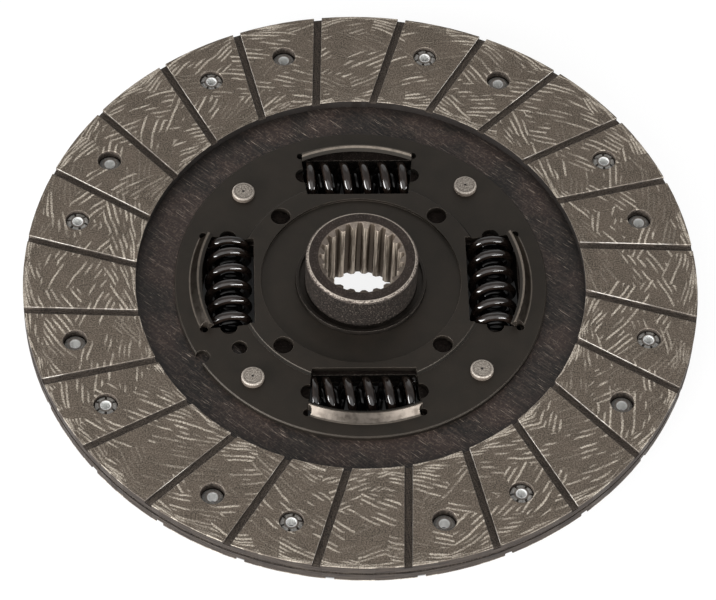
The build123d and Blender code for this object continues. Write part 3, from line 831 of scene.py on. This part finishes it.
rivet_finish = rivet_zinc()
for k in range(rivet_count):
    dress(f"rivet_{k + 1:02d}", rivet_finish)


# Floor, light and camera. A white sheet lies under the disc in a dim room. A softbox stands low on
# each side of the camera, and the room's near and far walls are pale, so glossy edges catch light and
# flat black stays black. The sheet and the softboxes are measured in metres.
camera_polar = 266.0
camera_height = 54.853
camera_roll = 2.917
camera_distance = 1152.3
camera_target = Vector((-0.76, -2.89, 7.32))
focal_pixels = 3873.0
picture_width = 716
sensor_width = 36.0
far_clip = 20
softbox_spread = 52
softbox_distance = 1.6
softbox_width = 1.9
floor_reach = 6.0
floor_glow = 0.86
# The painted shadow under the disc fades in over the first pair of radii and out over the second, in
# millimetres.
shadow_ring_from = (15, 19)
shadow_ring_to = (95.0, 95.6)


def direction(polar, height):
    """A unit vector that points away from the disc at a polar angle and a height above the floor."""
    a, b = radians(polar), radians(height)
    return Vector((cos(a) * cos(b), sin(a) * cos(b), sin(b)))


def add_camera():
    back = direction(camera_polar, camera_height)
    right = Vector((0, 0, 1)).cross(back).normalized()
    up = back.cross(right)
    roll = radians(camera_roll)
    right, up = right * cos(roll) + up * sin(roll), up * cos(roll) - right * sin(roll)
    turn = Matrix((right, up, back)).transposed().to_4x4()
    lens = bpy.data.cameras.new("camera")
    lens.sensor_width = sensor_width
    lens.lens = focal_pixels * sensor_width / picture_width
    lens.clip_end = far_clip
    camera = bpy.data.objects.new("camera", lens)
    bpy.context.scene.collection.objects.link(camera)
    camera.matrix_world = Matrix.Translation((camera_target + back * camera_distance) * mm) @ turn
    bpy.context.scene.camera = camera


def add_softbox(name, polar, height, tall, strength):
    """A wide soft lamp that faces the disc from a polar angle and a height in degrees."""
    light = bpy.data.lights.new(name, "AREA")
    light.shape = "RECTANGLE"
    light.size = softbox_width
    light.size_y = tall
    light.energy = strength
    box = bpy.data.objects.new(name, light)
    bpy.context.scene.collection.objects.link(box)
    box.location = direction(polar, height) * softbox_distance
    box.rotation_euler = box.location.to_track_quat("Z", "Y").to_euler()


def seen_directly(tree):
    """1 for rays from the eye, from gloss and through clear things, and 0 for scattered light."""
    path = add(tree, "LightPath").outputs
    seen = plus(tree, path["Is Camera Ray"], plus(tree, path["Is Glossy Ray"], path["Is Transmission Ray"]))
    return maths(tree, "MINIMUM", seen, 1.0)


def add_floor():
    """The sheet is pale and glows white where it is looked at, except in a ring of painted shadow under the
    disc.
    """
    white, sheet_pale, sheet_seen, black = (colour(level, level, level) for level in (255, 225, 120, 0))
    corners = [(x * floor_reach, y * floor_reach, 0) for x, y in ((-1, -1), (1, -1), (1, 1), (-1, 1))]
    mesh = bpy.data.meshes.new("floor")
    mesh.from_pydata(corners, [], [(0, 1, 2, 3)])
    floor = bpy.data.objects.new("floor", mesh)
    bpy.context.scene.collection.objects.link(floor)
    material, tree, shader = new_material("white_sheet", Roughness=0.9, Specular_IOR_Level=0.0,
                                          Emission_Strength=floor_glow)
    seen = seen_directly(tree)
    # Painted shadow: the sheet doesn't glow in the ring under the disc.
    shadow_ring = band(tree, place(tree, disc_place)["Radius"], *shadow_ring_from, *shadow_ring_to)
    finish_shader(tree, shader, Base_Color=blend_colours(tree, seen, sheet_pale, sheet_seen),
                  Emission_Color=blend_colours(tree, seen, black, blend_colours(tree, shadow_ring, white, black)))
    mesh.materials.append(material)


def brightness(level):
    """A neutral light, where 1 is white."""
    return (level, level, level, 1.0)


def light_room():
    """A dim room with a bright near wall, behind the camera, and a pale far wall, beyond the disc."""
    dim, pale, bright = brightness(0.31), brightness(0.85), brightness(1.35)
    world = bpy.data.worlds.new("room")
    bpy.context.scene.world = world
    world.use_nodes = True
    tree = world.node_tree
    way = add(tree, "TexCoord").outputs["Generated"]
    up = height_of(tree, way)
    level = vector_maths(tree, "NORMALIZE", vector_maths(tree, "MULTIPLY", way, (1.0, 1.0, 0.0)))
    nearness = vector_maths(tree, "DOT_PRODUCT", level, tuple(direction(camera_polar, 0)))
    far_wall = times(tree, remap(tree, nearness, -0.75, -0.92), remap(tree, up, 0.87, 0.7))
    near_wall = times(tree, remap(tree, nearness, 0.35, 0.65), remap(tree, up, 0.966, 0.88))
    room = blend_colours(tree, near_wall, blend_colours(tree, far_wall, dim, pale), bright)
    tree.links.new(room, tree.nodes["Background"].inputs["Color"])


add_camera()
add_softbox("left_softbox", camera_polar - softbox_spread, height=10.5, tall=0.66, strength=72)
add_softbox("right_softbox", camera_polar + softbox_spread, height=6.5, tall=0.34, strength=41)
add_floor()
light_room()
bpy.context.scene.view_settings.view_transform = "Standard"
